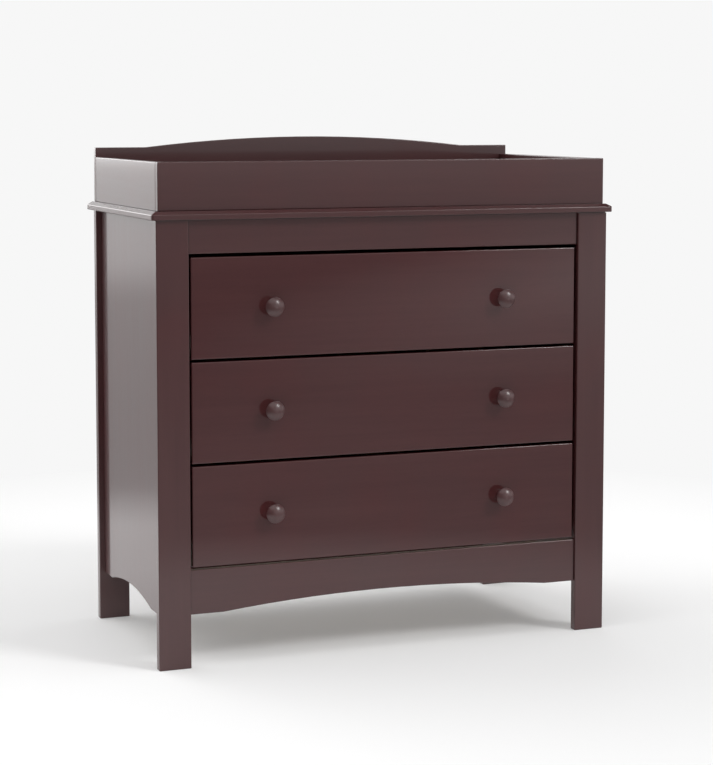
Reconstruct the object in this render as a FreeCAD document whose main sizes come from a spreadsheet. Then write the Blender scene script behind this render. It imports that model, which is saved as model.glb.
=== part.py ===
"""Changing dresser: a three-drawer chest on four flat legs, with a changing tray screwed on top.

Millimetres, +Z up, the front towards -Y and X to the right. The origin is on the floor, under the
middle of the whole object from the knobs' tips to the rear edge of the top.
"""
import FreeCAD, Part
import math
import os
import re

import Sketcher

doc = FreeCAD.newDocument("changing_dresser")

# ---------------------------------------------------------------------------------------------
# Driving dimensions: alias, size in millimetres, what it is
# ---------------------------------------------------------------------------------------------
DRIVING = (
    ("carcass_width", 890.0, "over the outer faces of the legs"),
    ("carcass_depth", 441.0, "from the front legs' front faces to the rear legs' rear faces"),
    ("carcass_height", 808.0, "floor to the underside of the top"),
    ("edge_ease", 1.8, "rounding of every exposed edge of a board"),
    ("leg_width", 60.0, "legs are flat boards, this wide across the front"),
    ("leg_thickness", 17.5, "front to back"),
    ("side_panel_thickness", 15.0, "side panels"),
    ("side_panel_inset", 10.7, "side panels behind the legs' outer faces"),
    ("side_panel_clearance", 92.0, "floor to the ends of the side panels' lower edge"),
    ("side_arch_chord", 278.0, "arch in the side panels' lower edge, end to end"),
    ("side_arch_rise", 17.3, "height of that arch"),
    ("side_arch_shift", 12.5, "that arch lies this far behind the middle of the panel"),
    ("top_thickness", 15.7, "top board"),
    ("top_side_overhang", 9.4, "top past the legs at each side"),
    ("top_front_overhang", 6.8, "top past the front legs"),
    ("top_rear_overhang", 14.0, "top past the rear legs, which clears a skirting board"),
    ("top_corner_radius", 5.0, "front corners of the top, in plan"),
    ("top_bevel_height", 5.8, "bevel round the front and sides of the top"),
    ("top_bevel_width", 9.6, "how far that bevel runs in"),
    ("front_recess", 5.0, "rails and drawer fronts behind the legs' front faces"),
    ("front_rail_height", 60.8, "rail above the drawers"),
    ("front_rail_thickness", 15.0, "rail above the drawers, and the apron"),
    ("shadow_gap", 1.5, "groove round the front of that rail, and under the top at the legs"),
    ("shadow_gap_depth", 5.0, "how far that groove runs in"),
    ("apron_clearance", 97.0, "floor to the ends of the apron's lower edge"),
    ("apron_height", 81.0, "apron at its ends"),
    ("apron_arch_chord", 646.0, "arch in the apron's lower edge, end to end"),
    ("apron_arch_rise", 17.4, "height of that arch"),
    ("rear_top_rail_height", 60.0, "rail behind the top drawer"),
    ("rear_low_rail_height", 98.0, "rail behind the apron, seen past the bottom drawer"),
    ("back_panel_thickness", 3.0, "hardboard back"),
    ("back_groove_depth", 7.0, "groove round the back panel"),
    ("back_groove_setback", 2.4, "that groove in front of the rear faces"),
    ("groove_clearance", 0.2, "play of a panel in its groove, on each face and at its edges"),
    ("tray_inset", 5.0, "changing tray inside the legs' outer faces, at the sides"),
    ("tray_front_inset", 5.2, "changing tray behind the legs' front faces"),
    ("tray_board", 14.3, "boards of the changing tray"),
    ("tray_height", 86.5, "front and side boards of the tray"),
    ("tray_back_height", 104.8, "ends of the tray's back board"),
    ("tray_arch_chord", 676.0, "arch on the tray's back board, end to end"),
    ("tray_arch_rise", 19.7, "height of that arch"),
    ("drawer_front_thickness", 18.0, "drawer fronts"),
    ("drawer_side_gap", 4.9, "between a drawer front and each leg"),
    ("drawer_gap", 5.2, "between two drawer fronts"),
    ("drawer_gap_above", 6.2, "between the top drawer front and the rail"),
    ("drawer_gap_below", 4.6, "between the bottom drawer front and the apron"),
    ("drawer_board", 12.0, "sides and backs of the drawer boxes"),
    ("drawer_box_height", 130.0, "sides of the drawer boxes"),
    ("drawer_box_lift", 22.0, "drawer boxes above the lower edge of their fronts"),
    ("drawer_box_depth", 365.0, "drawer boxes behind their fronts"),
    ("drawer_bottom_thickness", 5.0, "drawer bottoms"),
    ("drawer_bottom_lift", 10.0, "drawer bottoms above the sides' lower edges"),
    ("drawer_groove_depth", 5.0, "grooves that hold the drawer bottoms"),
    ("runner_space", 12.7, "between the legs and a drawer box, at each side"),
    ("runner_shortfall", 15.0, "runners shorter than the drawer boxes"),
    ("runner_setback", 2.6, "runners behind the drawer fronts"),
    ("runner_gauge", 1.2, "steel sheet of the runners"),
    ("runner_drop", 8.0, "cabinet runner below the drawer box"),
    ("runner_notch_margin", 3.0, "cut in the channel's upper flange, clear of the front roller"),
    ("channel_height", 26.4, "cabinet runner, a channel"),
    ("channel_depth", 10.2, "flanges of the channel"),
    ("flange_clearance", 1.6, "drawer runner's upper flange above the channel"),
    ("flange_play", 2.0, "drawer runner's upper flange short of the cabinet"),
    ("shelf_flange", 10.0, "drawer runner's lower flange, under the drawer side"),
    ("block_height", 50.0, "blocks that bring the runners in from the side panels"),
    ("roller_radius", 11.0, "nylon rollers"),
    ("roller_width", 7.6, "nylon rollers"),
    ("roller_chamfer", 0.8, "rim of the rollers"),
    ("roller_inset", 2.4, "rollers in from the cabinet runner's back"),
    ("roller_end", 14.0, "roller axle from the runner's end"),
    ("roller_clearance", 0.15, "between a roller and the flange it bears on"),
    ("axle_radius", 2.5, "riveted roller axles"),
    ("axle_clearance", 0.08, "running play round an axle"),
    ("axle_head_radius", 4.0, "head that keeps a roller on"),
    ("axle_head", 0.6, "thickness of that head"),
    ("axle_play", 0.1, "end play of a roller"),
    ("knob_spacing", 458.0, "between the two knobs of a drawer"),
    ("knob_radius", 18.55, "knob at its rim, before the rim is rounded"),
    ("knob_reach", 28.0, "knob out from the drawer front"),
    ("knob_rim", 18.8, "widest part of the knob out from the drawer front"),
    ("knob_base_radius", 9.5, "knob's seat on the drawer front"),
    ("knob_neck_radius", 8.0, "knob's neck"),
    ("knob_neck", 6.0, "narrowest part of the neck out from the drawer front"),
    ("knob_under_curve", 16.0, "hollow curve from the neck to the rim"),
    ("knob_rim_round", 1.5, "rounding of the knob's rim"),
    ("knob_screw_radius", 2.0, "knob screw"),
    ("knob_screw_bite", 12.0, "knob screw inside the knob"),
    ("knob_screw_head", 2.4, "pan head of the knob screw"),
    ("knob_screw_head_radius", 4.2, "pan head of the knob screw"),
    ("dowel_radius", 4.0, "beech dowels of the carcass and the tray"),
    ("dowel_in_face", 10.0, "dowel in the face of a board"),
    ("dowel_in_edge", 20.0, "dowel in the edge of a board"),
    ("small_dowel_radius", 3.0, "dowels of the drawer boxes"),
    ("small_dowel_from_base", 36.0, "lower dowels above the drawer sides' lower edges"),
    ("small_dowel_from_top", 28.0, "upper dowels below the drawer sides' upper edges"),
    ("small_dowel_in_face", 8.0, "small dowel in the face of a board"),
    ("small_dowel_in_edge", 17.0, "small dowel in the edge of a board"),
    ("cam_radius", 7.4, "cam locks"),
    ("cam_depth", 12.4, "cam locks"),
    ("cam_fit", 0.1, "play of a cam lock in its bore"),
    ("cam_axis_depth", 7.5, "bolt axis below the face that the cam lock is in"),
    ("cam_setback", 24.0, "cam lock from the joint"),
    ("cam_hollow_radius", 3.9, "hollow of the cam lock, and the bolt's bore"),
    ("bolt_radius", 3.0, "thread of the cam bolt"),
    ("bolt_bite", 11.0, "thread of the cam bolt in the face of a board"),
    ("bolt_neck_radius", 2.2, "neck of the cam bolt"),
    ("bolt_head_radius", 3.4, "head of the cam bolt"),
    ("bolt_head", 3.0, "length of the cam bolt's head"),
    ("side_cam_from_top", 118.0, "upper cam locks of the side panels below the top"),
    ("side_cam_from_foot", 198.0, "lower cam locks above the side panels' lower ends"),
    ("side_dowel_from_foot", 48.0, "lowest dowels above the side panels' lower ends"),
    ("top_cam_from_leg", 60.0, "cam locks under the top, from the legs"),
    ("rail_dowel_offset", 16.0, "dowel and cam lock of a rail's end, from its middle"),
    ("tray_dowel_offset", 23.0, "dowels of the tray's corners, from mid height"),
    ("tray_screw_pitch", 220.0, "between the screws that hold the tray"),
    ("tray_screw_length", 40.0, "those screws"),
    ("tray_screw_radius", 2.2, "those screws"),
    ("tray_screw_head_radius", 4.4, "those screws"),
    ("runner_screw_radius", 1.7, "screws of the runners"),
    ("runner_screw_head_radius", 3.4, "screws of the runners"),
    ("cabinet_screw_length", 16.0, "screws of the cabinet runners"),
    ("drawer_screw_length", 10.0, "screws of the drawer runners"),
    ("front_screw_setback", 62.0, "front screw of a runner from its end"),
    ("rear_screw_setback", 58.0, "rear screw of a runner from its end"),
    ("recess_half_width", 0.5, "arms of a cross recess"),
    ("recess_depth", 1.3, "cross recess"),
    ("tether_pilot_radius", 1.5, "pilot holes for an anti-tip strap, in the rear top rail"),
    ("tether_pilot_depth", 12.0, "those pilot holes"),
    ("tether_pilot_pitch", 32.0, "between those pilot holes"),
)

# Places that follow from the sizes: name, formula
FOLLOWING = (
    ("half_width", "carcass_width / 2"),
    ("leg_inner", "half_width - leg_width"),
    ("panel_outer", "half_width - side_panel_inset"),
    ("panel_inner", "panel_outer - side_panel_thickness"),
    ("cam_line", "panel_inner + cam_axis_depth"),
    ("face_y", "(knob_reach - front_recess - carcass_depth - top_rear_overhang) / 2"),
    ("front_y", "face_y + front_recess"),
    ("leg_back", "face_y + leg_thickness"),
    ("rear_y", "face_y + carcass_depth"),
    ("rear_leg_front", "rear_y - leg_thickness"),
    ("rail_axis_y", "front_y + front_rail_thickness - cam_axis_depth"),
    ("rear_rail_axis_y", "rear_leg_front + cam_axis_depth"),
    ("knob_overhang", "knob_reach - knob_rim"),
    ("knob_dome_radius", "(knob_radius ^ 2 + knob_overhang ^ 2) / (2 * knob_overhang)"),
    ("top_front", "face_y - top_front_overhang"),
    ("top_rear", "rear_y + top_rear_overhang"),
    ("top_surface", "carcass_height + top_thickness"),
    ("apron_top", "apron_clearance + apron_height"),
    ("rail_under", "carcass_height - front_rail_height"),
    ("side_panel_depth", "rear_leg_front - leg_back"),
    ("low_cam_z", "side_panel_clearance + side_cam_from_foot"),
    ("high_cam_z", "carcass_height - side_cam_from_top"),
    ("apron_radius", "(apron_arch_chord ^ 2 / 4 + apron_arch_rise ^ 2) / (2 * apron_arch_rise)"),
    ("side_arch_radius", "(side_arch_chord ^ 2 / 4 + side_arch_rise ^ 2) / (2 * side_arch_rise)"),
    ("tray_arch_radius", "(tray_arch_chord ^ 2 / 4 + tray_arch_rise ^ 2) / (2 * tray_arch_rise)"),
    ("rear_low_rail_z", "apron_top - rear_low_rail_height"),
    ("rear_top_rail_z", "carcass_height - rear_top_rail_height"),
    ("back_panel_y", "rear_y - back_groove_setback - groove_clearance - back_panel_thickness"),
    ("back_groove_width", "back_panel_thickness + 2 * groove_clearance"),
    ("tray_half", "half_width - tray_inset"),
    ("tray_front_y", "face_y + tray_front_inset"),
    ("tray_inner_front", "tray_front_y + tray_board"),
    ("tray_inner_rear", "top_rear - tray_board"),
    ("tray_mid_z", "top_surface + tray_height / 2"),
    ("opening_height", "rail_under - apron_top"),
    ("drawer_stack", "opening_height - drawer_gap_above - drawer_gap_below - 2 * drawer_gap"),
    ("drawer_front_height", "drawer_stack / 3"),
    ("drawer_pitch", "drawer_front_height + drawer_gap"),
    ("drawer_front_half", "leg_inner - drawer_side_gap"),
    ("bottom_drawer_z", "apron_top + drawer_gap_below"),
    ("middle_drawer_z", "bottom_drawer_z + drawer_pitch"),
    ("top_drawer_z", "middle_drawer_z + drawer_pitch"),
    ("box_front", "front_y + drawer_front_thickness"),
    ("box_back", "box_front + drawer_box_depth"),
    ("box_half", "leg_inner - runner_space"),
    ("box_inner", "box_half - drawer_board"),
    ("runner_length", "drawer_box_depth - runner_shortfall"),
    ("runner_front", "box_front + runner_setback"),
    ("runner_back", "runner_front + runner_length"),
    ("front_axle_y", "runner_front + roller_end"),
    ("rear_axle_y", "runner_back - roller_end"),
    ("roller_outer", "leg_inner - roller_inset"),
    ("roller_inner", "roller_outer - roller_width"),
    ("runner_sheet_x", "box_half + runner_gauge"),
)
DRAWERS = ("bottom_drawer", "middle_drawer", "top_drawer")
SIDES = ("left", "right")
NEAR = 1e-3     # an edge this close to a place lies on it


def fill_sheet():
    """The spreadsheet of driving dimensions: name, size and meaning in three columns."""
    sheet = doc.addObject("Spreadsheet::Sheet", "Sizes")
    for row, (alias, size, meaning) in enumerate(DRIVING, start=1):
        sheet.set(f"A{row}", alias.replace("_", " "))
        sheet.set(f"B{row}", str(size))
        sheet.setAlias(f"B{row}", alias)
        sheet.set(f"C{row}", meaning)
    doc.recompute()
    return sheet


def formula(text):
    """Point each name in a formula at the sheet or the layout that holds it."""
    return re.sub(r"[a-z][a-z_0-9]*", lambda word: OWNER.get(word.group(0), word.group(0)), text)


def fill_layout():
    """A variable set whose values all follow from the sheet."""
    layout = doc.addObject("App::VarSet", "Layout")
    for name, _ in FOLLOWING:
        layout.addProperty("App::PropertyFloat", name, "Layout", "")
    for name, text in FOLLOWING:
        layout.setExpression(name, formula(text))
    doc.recompute()
    return layout


OWNER = {alias: f"Sizes.{alias}" for alias, _, _ in DRIVING}
OWNER.update({name: f"Layout.{name}" for name, _ in FOLLOWING})
sizes = fill_sheet()
layout = fill_layout()


def number(text):
    """The present value of a formula."""
    return float(layout.evalExpression(formula(text)))


def bind(thing, **formulas):
    """Tie properties of an object to formulas."""
    for prop, text in formulas.items():
        thing.setExpression(prop, formula(text))


def put(thing, corner):
    """Tie an object's place to three formulas."""
    for axis, text in zip("xyz", corner):
        thing.setExpression(f"Placement.Base.{axis}", formula(text))


def low_x(side, near, far):
    """Lower x of a piece that lies from near to far beyond the middle plane, on one side."""
    return near if side == "right" else f"-({far})"


def side_x(side, text):
    """An x beyond the middle plane, on one side."""
    return text if side == "right" else f"-({text})"


# ---------------------------------------------------------------------------------------------
# Ways of making a piece
# ---------------------------------------------------------------------------------------------
def box(label, size, corner):
    """A plain box."""
    thing = doc.addObject("Part::Box", label)
    bind(thing, Length=size[0], Width=size[1], Height=size[2])
    put(thing, corner)
    return thing


def cylinder(label, radius, length, base, turn):
    """A plain cylinder along its own Z, turned to face another way."""
    thing = doc.addObject("Part::Cylinder", label)
    thing.Placement.Rotation = turn
    bind(thing, Radius=radius, Height=length)
    put(thing, base)
    return thing


def ease(body, feature):
    """Round every edge of a body a little, as a sanded and lacquered board is."""
    doc.recompute()
    rounding = body.newObject("PartDesign::Fillet", f"{body.Name}_ease")
    rounding.Base = (feature, ["Edge1"])
    rounding.UseAllEdges = True
    bind(rounding, Radius="edge_ease")
    return rounding


def edges_where(shape, test):
    """Names of a shape's edges that pass a test of their middle point."""
    found = []
    for index, edge in enumerate(shape.Edges, start=1):
        if test(edge.CenterOfMass):
            found.append(f"Edge{index}")
    return found


def board(label, size, corner):
    """A straight board with eased edges."""
    body = doc.addObject("PartDesign::Body", label)
    blank = body.newObject("PartDesign::AdditiveBox", f"{label}_blank")
    bind(blank, Length=size[0], Width=size[1], Height=size[2])
    ease(body, blank)
    put(body, corner)
    return body


def arc_between(start, end, radius, turning):
    """A circular arc from start to end, turning left or right, as counter-clockwise geometry."""
    chord = end - start
    reach = math.sqrt(max(radius ** 2 - chord.Length ** 2 / 4, 0.0))
    to_left = FreeCAD.Vector(-chord.y, chord.x, 0) / chord.Length
    side = 1 if turning == "left" else -1
    centre = (start + end) / 2 + to_left * reach * side
    first, last = (start, end) if turning == "left" else (end, start)
    angles = [math.atan2(point.y - centre.y, point.x - centre.x) for point in (first, last)]
    return Part.ArcOfCircle(Part.Circle(centre, FreeCAD.Vector(0, 0, 1), radius), *angles)


def outline(body, plane, corners, arcs=None):
    """A closed sketch whose corners, and whose arcs' radii, are tied to formulas.

    arcs holds, for the index of a corner, the radius of the edge that leaves it and its turning.
    """
    arcs = arcs or {}
    sketch = body.newObject("Sketcher::SketchObject", f"{body.Name}_outline")
    origin_plane = [part for part in body.Origin.OriginFeatures if part.Role == plane][0]
    sketch.AttachmentSupport = (origin_plane, [""])
    sketch.MapMode = "FlatFace"
    points = [FreeCAD.Vector(number(x), number(y), 0) for x, y in corners]
    ends = []
    for index, start in enumerate(points):
        end = points[(index + 1) % len(points)]
        if index in arcs:
            radius, turning = arcs[index]
            edge = sketch.addGeometry(arc_between(start, end, number(radius), turning))
            ends.append((edge, 1, 2) if turning == "left" else (edge, 2, 1))
        else:
            edge = sketch.addGeometry(Part.LineSegment(start, end))
            ends.append((edge, 1, 2))
    for index, (edge, first, _) in enumerate(ends):
        previous, _, last = ends[index - 1]
        sketch.addConstraint(Sketcher.Constraint("Coincident", previous, last, edge, first))
        for kind, text, now in zip(("DistanceX", "DistanceY"), corners[index],
                                   (points[index].x, points[index].y)):
            place = sketch.addConstraint(Sketcher.Constraint(kind, -1, 1, edge, first, now))
            sketch.setExpression(f"Constraints[{place}]", formula(text))
        if index in arcs:
            now = number(arcs[index][0])
            bend = sketch.addConstraint(Sketcher.Constraint("Radius", edge, now))
            sketch.setExpression(f"Constraints[{bend}]", formula(arcs[index][0]))
    return sketch


def shaped_board(label, plane, corners, arcs, thickness, corner, backwards=False, eased=True):
    """A board sawn to an outline, with eased edges."""
    body = doc.addObject("PartDesign::Body", label)
    sketch = outline(body, plane, corners, arcs)
    pad = body.newObject("PartDesign::Pad", f"{label}_pad")
    pad.Profile = sketch
    pad.Reversed = backwards
    bind(pad, Length=thickness)
    if eased:
        ease(body, pad)
    put(body, corner)
    return body


def turned(label, plane, corners, arcs, axis):
    """A piece turned about its sketch's own H_Axis or V_Axis."""
    body = doc.addObject("PartDesign::Body", label)
    sketch = outline(body, plane, corners, arcs)
    turn = body.newObject("PartDesign::Revolution", f"{label}_turn")
    turn.Profile = sketch
    turn.ReferenceAxis = (sketch, [axis])
    turn.Angle = 360
    return body


def facing(along, across):
    """The rotation that turns +Z to one direction and +X to another."""
    along = FreeCAD.Vector(*along)
    across = FreeCAD.Vector(*across)
    return FreeCAD.Rotation(across, along.cross(across), along, "ZXY")


def copy_of(source, label, at, turn):
    """A repeat of a fastener at another place."""
    link = doc.addObject("App::Link", label)
    link.LinkedObject = source
    link.LinkTransform = True
    link.Placement.Rotation = turn
    put(link, at)
    return link


def group(label, members):
    """Several separate solids under one name."""
    compound = doc.addObject("Part::Compound", label)
    compound.Links = members
    return compound


def cut(label, base, tools):
    """A piece less everything that is let into it."""
    thing = doc.addObject("Part::Cut", label)
    thing.Base = base
    thing.Tool = group(f"{label}_tools", tools)
    return thing


def fuse(label, members):
    """Pieces welded or riveted into one."""
    thing = doc.addObject("Part::MultiFuse", label)
    thing.Shapes = members
    return thing


# ---------------------------------------------------------------------------------------------
# Fasteners, each made once about the origin, driven along +Z
# ---------------------------------------------------------------------------------------------
TO_Z = FreeCAD.Rotation()
TO_X = facing((1, 0, 0), (0, 0, -1))


def spindle(label, corners):
    """A turned fastener whose outline is given as radius and height."""
    return turned(label, "XZ_Plane", corners, {}, "V_Axis")


def plain_dowel(label, radius, in_face, in_edge):
    """A dowel across a joint at z = 0."""
    return cylinder(label, radius, f"{in_face} + {in_edge}", ("0", "0", f"-{in_face}"), TO_Z)


def recessed(label, blank, radius):
    """A screw with a cross recess in its head."""
    arms = []
    for name, long_x, long_y in (("arm_a", radius, "2 * recess_half_width"),
                                 ("arm_b", "2 * recess_half_width", radius)):
        arms.append(box(f"{label}_{name}", (long_x, long_y, "2 * recess_depth"),
                        (f"-({long_x}) / 2", f"-({long_y}) / 2", "-recess_depth")))
    return cut(label, blank, [fuse(f"{label}_cross", arms)])


def countersunk_screw(label, radius, head_radius, length):
    """A blank and a finished countersunk screw, its head's face at z = 0."""
    blank = spindle(f"{label}_blank", (
        ("0", "0"), (head_radius, "0"), (radius, f"{head_radius} - {radius}"),
        (radius, f"{length} - 2 * {radius}"), ("0", length)))
    return blank, recessed(label, blank, head_radius)


def cam_bolt():
    """A headed bolt, its thread below the joint and its head in the cam lock."""
    head_start = "cam_setback - bolt_head / 2"
    return spindle("cam_bolt", (
        ("0", "-bolt_bite"), ("bolt_radius", "-bolt_bite"), ("bolt_radius", "0"),
        ("bolt_neck_radius", "0"), ("bolt_neck_radius", head_start),
        ("bolt_head_radius", head_start), ("bolt_head_radius", "cam_setback + bolt_head / 2"),
        ("0", "cam_setback + bolt_head / 2")))


def cam_lock():
    """A round lock let into a face towards +X, hollow where the bolt's head sits."""
    disc = cylinder("cam_disc", "cam_radius", "cam_depth",
                    ("cam_axis_depth - cam_depth", "0", "cam_setback"), TO_X)
    hollow = cylinder("cam_hollow", "cam_hollow_radius", "cam_radius + 2 * bolt_head",
                      ("0", "0", "cam_setback - cam_radius - bolt_head / 2"), TO_Z)
    slots = []
    for name, across, along in (("slot_a", "cam_radius", "2 * recess_half_width"),
                                ("slot_b", "2 * recess_half_width", "cam_radius")):
        slots.append(box(f"cam_{name}", ("2 * recess_depth", across, along),
                         ("cam_axis_depth - recess_depth", f"-({across}) / 2",
                          f"cam_setback - ({along}) / 2")))
    return cut("cam_lock", disc, [hollow, fuse("cam_cross", slots)])


def cam_bore():
    """What is bored out of the edge board: the lock's bore and the bolt's."""
    lock = cylinder("cam_lock_bore", "cam_radius + cam_fit", "cam_depth + cam_fit",
                    ("cam_axis_depth - cam_depth - cam_fit", "0", "cam_setback"), TO_X)
    bolt = cylinder("cam_bolt_bore", "cam_hollow_radius", "cam_setback", ("0", "0", "0"), TO_Z)
    return fuse("cam_bore", [lock, bolt])


def knob_screw():
    """A pan-head machine screw, the seat of its head at z = 0, and the shank it is bored for."""
    shank = cylinder("knob_screw_shank", "knob_screw_radius",
                     "drawer_front_thickness + knob_screw_bite", ("0", "0", "0"), TO_Z)
    head = spindle("knob_screw_head_blank", (
        ("0", "0"), ("knob_screw_head_radius", "0"),
        ("knob_screw_head_radius", "-knob_screw_head / 2"),
        ("knob_screw_head_radius * 0.7", "-knob_screw_head"), ("0", "-knob_screw_head")))
    slot = box("knob_screw_slot",
               ("2 * knob_screw_head_radius", "2 * recess_half_width", "2 * recess_depth"),
               ("-knob_screw_head_radius", "-recess_half_width", "-knob_screw_head - recess_depth"))
    return shank, cut("knob_screw", fuse("knob_screw_blank", [shank, head]), [slot])


DOWEL = plain_dowel("dowel", "dowel_radius", "dowel_in_face", "dowel_in_edge")
SMALL_DOWEL = plain_dowel("small_dowel", "small_dowel_radius", "small_dowel_in_face",
                          "small_dowel_in_edge")
CAM_BOLT = cam_bolt()
CAM_LOCK = cam_lock()
CAM_BORE = cam_bore()
TRAY_SCREW_BLANK, TRAY_SCREW = countersunk_screw(
    "tray_screw", "tray_screw_radius", "tray_screw_head_radius", "tray_screw_length")
CABINET_SCREW_BLANK, CABINET_SCREW = countersunk_screw(
    "cabinet_screw", "runner_screw_radius", "runner_screw_head_radius", "cabinet_screw_length")
DRAWER_SCREW_BLANK, DRAWER_SCREW = countersunk_screw(
    "drawer_screw", "runner_screw_radius", "runner_screw_head_radius", "drawer_screw_length")
KNOB_SCREW_SHANK, KNOB_SCREW = knob_screw()

nodes = {}      # every finished sub-part, by name
blanks = {}     # boards before their bores and grooves are cut
let_in = {}     # what is cut out of each of those boards
carcass_fasteners = {"wood_dowels": [], "cam_bolts": [], "cam_locks": []}


def let_into(name, *tools):
    """Remember what a board is bored or grooved for."""
    let_in.setdefault(name, []).extend(tools)


def add_dowel(face_board, edge_board, at, along):
    """A dowel across the joint at a point, from a board's face into another's edge."""
    pins = carcass_fasteners["wood_dowels"]
    across = (0, 0, 1) if along[2] == 0 else (1, 0, 0)
    pin = copy_of(DOWEL, f"wood_dowel_{len(pins)}", at, facing(along, across))
    pins.append(pin)
    let_into(face_board, pin)
    let_into(edge_board, pin)


def add_cam(face_board, edge_board, at, along, opens):
    """A cam bolt in a board's face, and its lock in the edge board, open towards one side."""
    bolts, locks = carcass_fasteners["cam_bolts"], carcass_fasteners["cam_locks"]
    turn = facing(along, opens)
    bolt = copy_of(CAM_BOLT, f"cam_bolt_{len(bolts)}", at, turn)
    bolts.append(bolt)
    locks.append(copy_of(CAM_LOCK, f"cam_lock_{len(locks)}", at, turn))
    let_into(face_board, bolt)
    let_into(edge_board, copy_of(CAM_BORE, f"cam_bore_{len(locks)}", at, turn))


# ---------------------------------------------------------------------------------------------
# Carcass
# ---------------------------------------------------------------------------------------------
def legs():
    """Four flat legs, each a board that faces the front."""
    for side in SIDES:
        for end, y in (("front", "face_y"), ("rear", "rear_leg_front")):
            name = f"{end}_{side}_leg"
            blanks[name] = board(f"{name}_board", ("leg_width", "leg_thickness", "carcass_height"),
                                 (low_x(side, "leg_inner", "half_width"), y, "0"))


def side_panels():
    """Panels between the front and rear legs, arched below and joined to both with cam locks."""
    middle = "side_panel_depth / 2 + side_arch_shift"
    height = "carcass_height - side_panel_clearance"
    corners = (("0", "0"), (f"{middle} - side_arch_chord / 2", "0"),
               (f"{middle} + side_arch_chord / 2", "0"), ("side_panel_depth", "0"),
               ("side_panel_depth", height), ("0", height))
    for side in SIDES:
        name = f"{side}_side_panel"
        blanks[name] = shaped_board(
            f"{name}_board", "YZ_Plane", corners, {1: ("side_arch_radius", "right")},
            "side_panel_thickness",
            (low_x(side, "panel_inner", "panel_outer"), "leg_back", "side_panel_clearance"))
        inward = (-1, 0, 0) if side == "right" else (1, 0, 0)
        x = side_x(side, "cam_line")
        for leg, y, along in ((f"front_{side}_leg", "leg_back", (0, 1, 0)),
                              (f"rear_{side}_leg", "rear_leg_front", (0, -1, 0))):
            for z in ("low_cam_z", "high_cam_z"):
                add_cam(leg, name, (x, y, z), along, inward)
            for z in ("side_panel_clearance + side_dowel_from_foot",
                      "(low_cam_z + high_cam_z) / 2"):
                add_dowel(leg, name, (x, y, z), along)
        for y in ("leg_back + top_cam_from_leg", "rear_leg_front - top_cam_from_leg"):
            add_cam("top_panel", name, (x, y, "carcass_height"), (0, 0, -1), inward)
        add_dowel("top_panel", name, (x, "(leg_back + rear_leg_front) / 2", "carcass_height"),
                  (0, 0, -1))


def top_panel():
    """The top, round at its front corners and bevelled on its front and sides."""
    body = doc.addObject("PartDesign::Body", "top_panel_board")
    slab = body.newObject("PartDesign::AdditiveBox", "top_panel_blank")
    bind(slab, Length="carcass_width + 2 * top_side_overhang",
         Width="carcass_depth + top_front_overhang + top_rear_overhang", Height="top_thickness")
    put(body, ("-half_width - top_side_overhang", "top_front", "carcass_height"))
    doc.recompute()
    depth, thickness = slab.Width.Value, slab.Height.Value
    bevel = body.newObject("PartDesign::Chamfer", "top_panel_bevel")
    bevel.Base = (slab, edges_where(
        slab.Shape, lambda at: at.z > thickness - NEAR and at.y < depth - NEAR))
    bevel.ChamferType = "Two distances"
    bind(bevel, Size="top_bevel_height", Size2="top_bevel_width")
    doc.recompute()
    width = slab.Length.Value
    corners = body.newObject("PartDesign::Fillet", "top_panel_corners")
    corners.Base = (bevel, edges_where(
        bevel.Shape, lambda at: at.y < NEAR and abs(at.x - width / 2) > width / 2 - NEAR))
    bind(corners, Radius="top_corner_radius")
    ease(body, corners)
    blanks["top_panel"] = body


def front_rails():
    """The rail above the drawers and the arched apron below them, both between the legs."""
    length = "2 * leg_inner"
    blanks["front_top_rail"] = board(
        "front_top_rail_board", (length, "front_rail_thickness", "front_rail_height"),
        ("-leg_inner", "front_y", "rail_under"))
    corners = (("-leg_inner", "0"), ("-apron_arch_chord / 2", "0"), ("apron_arch_chord / 2", "0"),
               ("leg_inner", "0"), ("leg_inner", "apron_height"), ("-leg_inner", "apron_height"))
    blanks["front_apron"] = shaped_board(
        "front_apron_board", "XZ_Plane", corners, {1: ("apron_radius", "right")},
        "front_rail_thickness", ("0", "front_y", "apron_clearance"), backwards=True)
    for name, middle in (("front_top_rail", "rail_under + front_rail_height / 2"),
                         ("front_apron", "apron_clearance + apron_height / 2")):
        join_rail(name, "front", middle, "rail_axis_y", (0, 1, 0))
    under_top = "carcass_height - shadow_gap"
    for name, across, height, x, y, z in (
            ("front_top_rail", length, "shadow_gap", "-leg_inner", "front_y", under_top),
            ("front_top_rail", "shadow_gap", "front_rail_height", "-leg_inner", "front_y",
             "rail_under"),
            ("front_top_rail", "shadow_gap", "front_rail_height", "leg_inner - shadow_gap",
             "front_y", "rail_under"),
            ("front_left_leg", "leg_width", "shadow_gap", "-half_width", "face_y", under_top),
            ("front_right_leg", "leg_width", "shadow_gap", "leg_inner", "face_y", under_top)):
        groove = box(f"{name}_gap_{len(let_in[name])}", (across, "shadow_gap_depth", height),
                     (x, y, z))
        let_into(name, groove)


def rear_rails():
    """Two rails between the rear legs, grooved for the back panel."""
    for name, z, height in (("rear_top_rail", "rear_top_rail_z", "rear_top_rail_height"),
                            ("rear_low_rail", "rear_low_rail_z", "rear_low_rail_height")):
        blanks[name] = board(f"{name}_board", ("2 * leg_inner", "leg_thickness", height),
                             ("-leg_inner", "rear_leg_front", z))
        join_rail(name, "rear", f"{z} + {height} / 2", "rear_rail_axis_y", (0, -1, 0))
    for index in (-1, 1):
        pilot = cylinder(f"tether_pilot_{index + 1}", "tether_pilot_radius", "tether_pilot_depth",
                         (f"{index} * tether_pilot_pitch / 2", "rear_y",
                          "rear_top_rail_z + rear_top_rail_height / 2"),
                         facing((0, -1, 0), (0, 0, 1)))
        let_into("rear_top_rail", pilot)


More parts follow.
